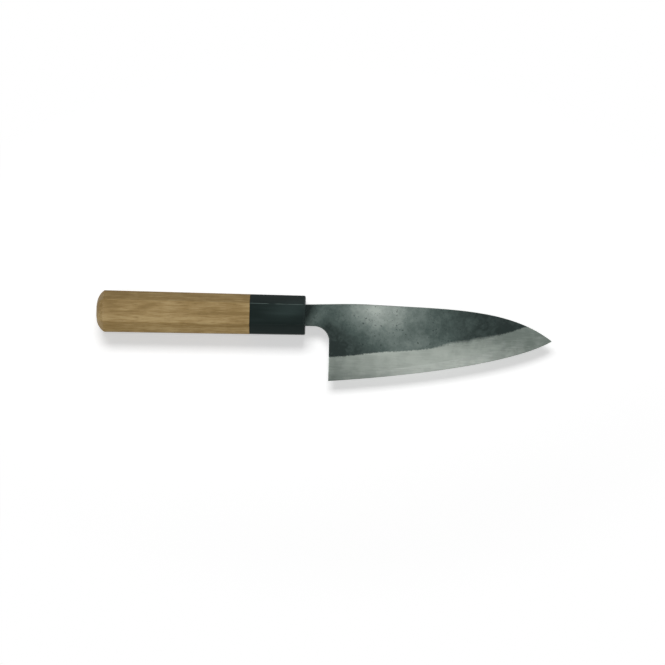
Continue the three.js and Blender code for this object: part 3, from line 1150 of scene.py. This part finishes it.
def growth_rings(tree):
    """Rings about the pith, as a value that rises through each ring."""
    from_pith = vectors(tree, "SUBTRACT", own_place(tree), in_frame(*PITH))
    rings = node(
        tree,
        "TexWave",
        {"wave_type": "RINGS", "rings_direction": "X", "wave_profile": "SAW"},
        Vector=vectors(tree, "MULTIPLY", from_pith, (1 / RING_STRETCH, 1, 1)),
        Scale=WAVE_LENGTH / (RING_WIDTH * MM),
        Distortion=2.6,
        Detail=3.0,
        Detail_Scale=0.35,
    )
    return rings.outputs["Fac"]


print(f"the growth rings are {RING_WIDTH} mm wide")

# %% [markdown]
# ## Wood grain
# Over the rings lie streaks, fibres and short dark pores, all along the wood. Where the wood is cut
# across, which the surface's normal tells, the rings stand out and the ends of the fibres soak up more
# oil. Two woods need the grain, so it is a node group that is given how much of each part shows.

# %% Wood grain
ACROSS = (0.7, 0.97)  # how far a normal points along the wood where it counts as cut across
END_FIBRES = (0.04, 0.24)  # tones of the fibres' ends


def cut_across(tree):
    """1 where the wood is cut across its fibres, 0 where it is cut along them."""
    normal = node(tree, "SeparateXYZ", Vector=node(tree, "NewGeometry").outputs["Normal"])
    return remap(tree, maths(tree, "ABSOLUTE", normal.outputs["X"]), *ACROSS)


def grain_group():
    """The grain of a wood: its tone, its fibres and its pores."""
    inputs = {"Rings": 0.16, "Fibres": 0.34, "Streaks": 0.24, "Clouds": 0.26, "End Rings": 0.46}
    tree, given, result = new_group("Wood grain", inputs, ("Tone", "Fibre", "Pores"))
    fibre = use_group(tree, FIBRES, Scale=2300.0, Stretch=16.0, Low=0.3, High=0.7)["Line"]
    streak = use_group(tree, FIBRES, Scale=750.0, Stretch=8.0, Low=0.34, High=0.64)["Line"]
    pores = use_group(tree, FIBRES, Scale=4200.0, Stretch=14.0, Low=0.6, High=0.72)["Line"]
    cloud = use_group(tree, PATCHES, Scale=90.0, Low=0.3, High=0.7)["Cloud"]
    rings = growth_rings(tree)
    side = maths(tree, "MULTIPLY", rings, given["Rings"])
    for label, part in (("Fibres", fibre), ("Streaks", streak), ("Clouds", cloud)):
        side = maths(tree, "ADD", side, maths(tree, "MULTIPLY", part, given[label]))
    end = maths(tree, "MULTIPLY", rings, given["End Rings"])
    end = maths(tree, "ADD", end, remap(tree, fibre, 0, 1, *END_FIBRES))
    value = mix(tree, cut_across(tree), side, end)
    for label, part in (("Tone", value), ("Fibre", fibre), ("Pores", pores)):
        fill(tree, result[label], part)
    return tree


GRAIN = grain_group()
print("node group:", GRAIN.name)

# %% [markdown]
# ## Two woods
# The hidden dowel is a plainer, paler wood than the handle, so both use the grain with their own colours.
# The handle's side is also paler along a stripe below its middle, darker along a thin line under that and
# towards the butt, and lighter or darker in a few other places. They are soft ovals that shift the tone of
# the grain, so the fibres run on through them.

# %% Handle wood and dowel wood
WOOD_AREAS = (  # middle, reach, turn and share of the paler and darker places on the handle's side
    ((-80, -3.6), (100, 4.4), 0, 0.17),
    ((-64, 3), (16, 6), 0, 0.10),
    ((-96, 4), (24, 11), 0, -0.28),
    ((-42, -1), (26, 5), 0, -0.24),
    ((-70, -6.5), (110, 1.3), 0, -0.20),
    ((-92, -9.8), (28, 1.8), 0, -0.16),
)
TONES = (0.2, 0.5, 0.8)  # of the grain, where the wood is dark, middling and pale
PORE_SHADE = 0.4  # how much of a pore's own colour shows
PORE_DEPTH = 0.03
FIBRE_HEIGHT = 0.3  # as a share of a pore's depth


def wood_finish(name, dark, middle, pale, pore, roughness, areas=()):
    made, tree, shader = new_material(name)
    grain = use_group(tree, GRAIN)
    colour = tone(tree, add_areas(tree, grain["Tone"], areas), *zip(TONES, (dark, middle, pale)))
    colour = blend(tree, maths(tree, "MULTIPLY", grain["Pores"], PORE_SHADE), colour, (*pore, 1))
    # rubbed edges turn pale; along the corners beside the spine that pale line is painted highlight
    edge_mask = use_group(tree, RUBBED_AND_SHEEN, Amount=0.75, Break_Scale=200.0)["Mask"]
    fill(tree, shader.inputs["Base Color"], blend(tree, edge_mask, colour, (*pale, 1)))
    fill(tree, shader.inputs["Roughness"], remap(tree, grain["Fibre"], 0, 1, *roughness))
    height = maths(tree, "SUBTRACT", maths(tree, "MULTIPLY", grain["Fibre"], FIBRE_HEIGHT), grain["Pores"])
    fill(tree, shader.inputs["Normal"], bump(tree, height, PORE_DEPTH))
    shader.inputs["Specular IOR Level"].default_value = 0.25
    return made


HANDLE_WOOD = wood_finish(
    "oiled hardwood",
    dark=(0.240, 0.156, 0.052),
    middle=(0.320, 0.217, 0.085),
    pale=(0.412, 0.296, 0.132),
    pore=(0.100, 0.060, 0.022),
    roughness=(0.44, 0.56),
    areas=WOOD_AREAS,
)
DOWEL_WOOD = wood_finish(
    "bare pale wood",
    dark=(0.46, 0.36, 0.21),
    middle=(0.58, 0.46, 0.28),
    pale=(0.68, 0.56, 0.37),
    pore=(0.30, 0.22, 0.12),
    roughness=(0.62, 0.75),
)
print("woods:", HANDLE_WOOD.name, "and", DOWEL_WOOD.name)

# %% [markdown]
# ## The handle body
# The body runs from the seam back to a butt that is rounded like a low dome with a small flat. Its
# sections shrink along an arc there. It is then bored for the dowel and chiselled for the tang's end, so
# that the hidden pieces have real room.

# %% Make the handle body
SEAM_EASE = 0.12
TANG_GAP = 0.4
DOME_STEPS = 10
RIM_EASE = 0.5  # length over which the dome's rim is eased
BODY_STEPS = 16


def dome_sections():
    rise = (BUTT_HEIGHT - DOME_FLAT) / 2
    radius = (rise**2 + DOME_DEPTH**2) / (2 * DOME_DEPTH)
    full = math.acos(1 - DOME_DEPTH / radius)
    sections = []
    for step in range(DOME_STEPS):
        angle = full * step / DOME_STEPS
        share = (DOME_FLAT + 2 * radius * math.sin(angle)) / BUTT_HEIGHT
        x = butt_x + radius * (1 - math.cos(angle))
        sections.append([(x, y, z) for _, y, z in section_at(rim_x, share=share)])
    return sections


def make_handle_body():
    straight = [rim_x, *np.linspace(rim_x + RIM_EASE, seam_x - SEAM_EASE, BODY_STEPS)]
    sections = [*dome_sections(), *[section_at(x) for x in straight], section_at(seam_x, inset=SEAM_EASE)]
    made = loft("wooden_body", sections, HANDLE_WOOD, SECTION_RUB_AND_SHEEN)
    carve(made, round_cutter(bore_radius, dowel_low.x - BORE_GAP, seam_x + CUT_PAST))
    tang_share = (dowel_low.x - SHOULDER_X) / (tang_end_x - SHOULDER_X)
    hole_height = TANG_HEIGHTS[0] + (TANG_HEIGHTS[1] - TANG_HEIGHTS[0]) * tang_share + 2 * TANG_GAP
    carve(made, slot_cutter(hole_height, SPINE_THICKNESS + 2 * TANG_GAP, 0, tang_end_x - TANG_GAP, seam_x))
    return made


wooden_body = make_handle_body()
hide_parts("handle_body")
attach(wooden_body, "root")

# %% [markdown]
# ## Horn
# The ferrule is of polished, almost black horn, with the faint streaks of a grown material and a painted
# sheen: a paler patch on its right side, where a lamp's reflection lies. The polish is in the roughness,
# and the sheen is one more soft oval. The rubbed edges are pale, because horn dulls where it is touched,
# and along the corners beside the spine that pale line is painted highlight.

# %% Finish the horn
HORN_BLACK = (0.0060, 0.0110, 0.0102)
HORN_STREAK = (0.011, 0.018, 0.017)
HORN_SHEEN = (0.024, 0.038, 0.036)
# rubbed horn edges, and the painted highlight along the corners beside the spine
HORN_EDGE_AND_SHEEN = (0.135, 0.175, 0.165)
HORN_SHEEN_AREA = ((-8, 2.5), (19, 7), 10)  # painted sheen: the paler patch on the right side, where a lamp's reflection lies
STREAK_HEIGHT = 0.004


def horn_finish():
    made, tree, shader = new_material("polished dark horn")
    streak = use_group(tree, FIBRES, Scale=420.0, Stretch=14.0, Low=0.42, High=0.74)["Line"]
    cloud = use_group(tree, PATCHES, Scale=120.0, Low=0.4, High=0.7)["Cloud"]
    colour = blend(tree, maths(tree, "MULTIPLY", streak, cloud), (*HORN_BLACK, 1), (*HORN_STREAK, 1))
    # painted sheen: a lamp's reflection, as a paler patch of the horn
    pale = maths(tree, "MULTIPLY", soft_oval(tree, *HORN_SHEEN_AREA), remap(tree, streak, 0, 1, 0.7, 1.0))
    colour = blend(tree, pale, colour, (*HORN_SHEEN, 1))
    # rubbed edges turn pale; along the corners beside the spine that pale line is painted highlight
    edge_mask = use_group(tree, RUBBED_AND_SHEEN, Amount=0.9, Break_Scale=150.0)["Mask"]
    fill(tree, shader.inputs["Base Color"], blend(tree, edge_mask, colour, (*HORN_EDGE_AND_SHEEN, 1)))
    fill(tree, shader.inputs["Roughness"], remap(tree, streak, 0, 1, 0.3, 0.4))
    fill(tree, shader.inputs["Normal"], bump(tree, streak, STREAK_HEIGHT))
    shader.inputs["Specular IOR Level"].default_value = 0.15
    shader.inputs["Specular Tint"].default_value = (0.8, 1.0, 0.95, 1)
    return made


HORN = horn_finish()
print("finish:", HORN.name)

# %% [markdown]
# ## The ferrule
# The ferrule carries the handle's eight sides on to the blade. Its front edge is rounded over, and its
# mouth is a round-cornered slot for the neck. It is lofted and carved as the body is.

# %% Make the ferrule
FRONT_ROUND = 0.8
FRONT_STEPS = 5
MOUTH_DEPTH = 6
SEAL_THICKNESS = 0.8


def make_ferrule():
    sections = [section_at(seam_x, inset=SEAM_EASE), section_at(seam_x + SEAM_EASE)]
    for step in range(FRONT_STEPS + 1):
        angle = math.pi / 2 * step / FRONT_STEPS
        x = -FRONT_ROUND * (1 - math.sin(angle))
        sections.append(section_at(x, inset=FRONT_ROUND * (1 - math.cos(angle))))
    made = loft("horn_ferrule", sections, HORN, SECTION_RUB_AND_SHEEN)
    carve(made, round_cutter(bore_radius, seam_x - CUT_PAST, -MOUTH_DEPTH))
    mouth = [size + 2 * SEAL_THICKNESS for size in (NECK_HEIGHT, SPINE_THICKNESS)]
    neck_middle = SPINE_HEIGHT - NECK_HEIGHT / 2
    carve(made, slot_cutter(*mouth, neck_middle, -MOUTH_DEPTH - CUT_PAST, CUT_PAST, corner=SEAL_THICKNESS))
    return made


horn_ferrule = make_ferrule()
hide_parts("ferrule")
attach(horn_ferrule, "root")

# %% [markdown]
# ## The pieces that stay as they are
# The dowel, the bedding around the tang and the seal in the ferrule's mouth already have the right shape,
# so the solids stay and only get a finish. The resin is dark and slightly clouded, with fine specks of
# dust.

# %% Finish the hidden pieces and the seal
RESIN_DARK = (0.012, 0.012, 0.010)
RESIN_CLOUD = (0.040, 0.038, 0.031)
DUST_HEIGHT = 0.01


def resin_finish():
    made, tree, shader = new_material("dark set resin")
    marks = use_group(tree, PATCHES, Scale=350.0, Low=0.35, High=0.7)
    colour = blend(tree, marks["Cloud"], (*RESIN_DARK, 1), (*RESIN_CLOUD, 1))
    fill(tree, shader.inputs["Base Color"], colour)
    fill(tree, shader.inputs["Roughness"], remap(tree, marks["Speck"], 0, 1, 0.38, 0.55))
    fill(tree, shader.inputs["Normal"], bump(tree, marks["Speck"], DUST_HEIGHT))
    return made


RESIN = resin_finish()
for solid_name, finish in (("handle_dowel", DOWEL_WOOD), ("tang_bedding", RESIN), ("neck_seal", RESIN)):
    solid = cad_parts[solid_name]
    solid.data.materials.clear()
    solid.data.materials.append(finish)
    print(solid_name, "is finished as", finish.name)

# %% [markdown]
# ## Floor
# The knife lies on a plain white floor. White paper throws a lot of light up under an object, and that
# would wash out the handle's slanting sides. So the floor is white to whatever looks at it, straight or
# in a mirror, and darker to the soft light that bounces about, which is what Light Path tells apart. It
# also glows a little, which keeps the shadow pale, and beyond the reach of the lamps it glows at a
# strength of 1, which is plain white, so that it doesn't fade to grey far away.

# %% Make the floor
FLOOR_SEEN = (0.82, 0.82, 0.82, 1)
FLOOR_BOUNCE = (0.60, 0.60, 0.60, 1)
FLOOR_GLOW = 0.53
FLOOR_SIZE = 24
LIT_REACH = (0.14, 0.24)  # metres along the knife at which the floor starts to glow, and glows fully
LIT_SHAPE = (1, 1.6, 1)  # across the knife it does so sooner


def is_seen(tree):
    """1 for rays of the camera and for mirrored and refracted ones, 0 for bounced light."""
    path = node(tree, "LightPath").outputs
    seen = maths(tree, "MAXIMUM", path["Is Camera Ray"], path["Is Glossy Ray"])
    return maths(tree, "MAXIMUM", seen, path["Is Transmission Ray"])


def floor_finish():
    made, tree, shader = new_material("white floor")
    seen = is_seen(tree)
    far = vectors(tree, "LENGTH", vectors(tree, "MULTIPLY", own_place(tree), LIT_SHAPE))
    unlit = maths(tree, "MULTIPLY", seen, remap(tree, far, *LIT_REACH))
    lit = blend(tree, seen, FLOOR_BOUNCE, FLOOR_SEEN)
    glow = remap(tree, far, *LIT_REACH, FLOOR_GLOW, 1.0)
    fill(tree, shader.inputs["Base Color"], blend(tree, unlit, lit, (0, 0, 0, 1)))
    fill(tree, shader.inputs["Emission Strength"], maths(tree, "MULTIPLY", seen, glow))
    shader.inputs["Emission Color"].default_value = (1, 1, 1, 1)
    shader.inputs["Roughness"].default_value = 0.9
    shader.inputs["Specular IOR Level"].default_value = 0.0
    return made


def make_floor():
    mesh = bpy.data.meshes.new("floor")
    half = FLOOR_SIZE / 2
    corners = [(-half, -half, 0), (half, -half, 0), (half, half, 0), (-half, half, 0)]
    mesh.from_pydata(corners, [], [(0, 1, 2, 3)])
    mesh.materials.append(floor_finish())
    return add_object("floor", mesh)


floor = make_floor()
floor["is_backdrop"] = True
print(f"the floor is {FLOOR_SIZE} m wide")

# %% [markdown]
# ## Lamps
# Two soft lamps stand beyond the ends of the knife, as on a copying stand, so the flat blade doesn't
# mirror them. A panel above the spine draws the bright line along the handle's upper edge. A lamp on the
# same side makes the one soft shadow, below the edge. Light linking keeps them apart: that lamp lights
# the floor only, because it would flatten the handle's upper side, and the others light the knife only,
# because they would throw three more shadows.

# %% Make the lamps
LAMP_TARGET = (10, 0, 0)


def soft_lamp(name, place, size, power):
    """A lamp that is turned towards the knife. Its place and its two sizes are in drawn millimetres."""
    lamp = bpy.data.lights.new(name, "AREA")
    lamp.shape = "RECTANGLE"
    lamp.size, lamp.size_y = (side * MM for side in size)
    lamp.energy = power
    made = add_object(name, lamp)
    made.location = in_frame(*place)
    made.rotation_euler = (in_frame(*LAMP_TARGET) - made.location).to_track_quat("-Z", "Y").to_euler()
    return made


def light_only(lamps, name, lit_pieces):
    """Lets lamps light some pieces only."""
    group = bpy.data.collections.new(name)
    for piece in lit_pieces:
        group.objects.link(piece)
    for lamp in lamps:
        lamp.light_linking.receiver_collection = group


knife_lamps = (
    soft_lamp("left_lamp", (-750, -160, 1000), (500, 500), 7.9),
    soft_lamp("right_lamp", (850, -160, 950), (500, 500), 5.3),
    soft_lamp("spine_panel", (70, 330, 900), (210, 210), 1.0),
)
shadow_lamp = soft_lamp("shadow_lamp", (-100, 575, 980), (560, 350), 7.6)
light_only((shadow_lamp,), "floor only", (floor,))
light_only(knife_lamps, "knife only", [o for o in scene.objects if o.type == "MESH" and o != floor])
print("lamps:", [lamp.name for lamp in (*knife_lamps, shadow_lamp)])

# %% [markdown]
# ## Room
# The room is dim as a light, so that the lamps do the work, and pale where it is seen or mirrored. It is
# white at the level of the floor, which it meets without a line, and grey above, which is what the blade
# mirrors.

# %% Make the room
ROOM_LIGHT = 0.15
ROOM_ABOVE = (0.5, 0.5, 0.5)
ROOM_LEVEL = (1.0, 1.0, 1.0)
ROOM_RISE = 0.14  # height, on a ball of radius 1, at which the grey is reached


def make_room():
    room = bpy.data.worlds.new("pale room")
    room.use_nodes = True
    tree = room.node_tree
    lighting = tree.nodes["Background"]
    lighting.inputs["Color"].default_value = (1, 1, 1, 1)
    lighting.inputs["Strength"].default_value = ROOM_LIGHT
    direction = node(tree, "SeparateXYZ", Vector=node(tree, "TexCoord").outputs["Generated"])
    walls = tone(tree, direction.outputs["Z"], (0.0, ROOM_LEVEL), (ROOM_RISE, ROOM_ABOVE))
    seen = node(tree, "Background", Color=walls)
    mixed = node(tree, "MixShader", Fac=is_seen(tree))
    fill(tree, mixed.inputs[1], lighting.outputs[0])
    fill(tree, mixed.inputs[2], seen.outputs[0])
    fill(tree, tree.nodes["World Output"].inputs["Surface"], mixed.outputs[0])
    return room


scene.world = make_room()
print("room:", scene.world.name)

# %% [markdown]
# ## Measure and finish
# The knife's box is printed next to the solids' box, so that any change of size by the looks shows.

# %% Write the sizes
knife_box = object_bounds()
for label, box in (("solids", cad_box), ("dressed", knife_box)):
    print(label, "in mm:", in_mm(box))
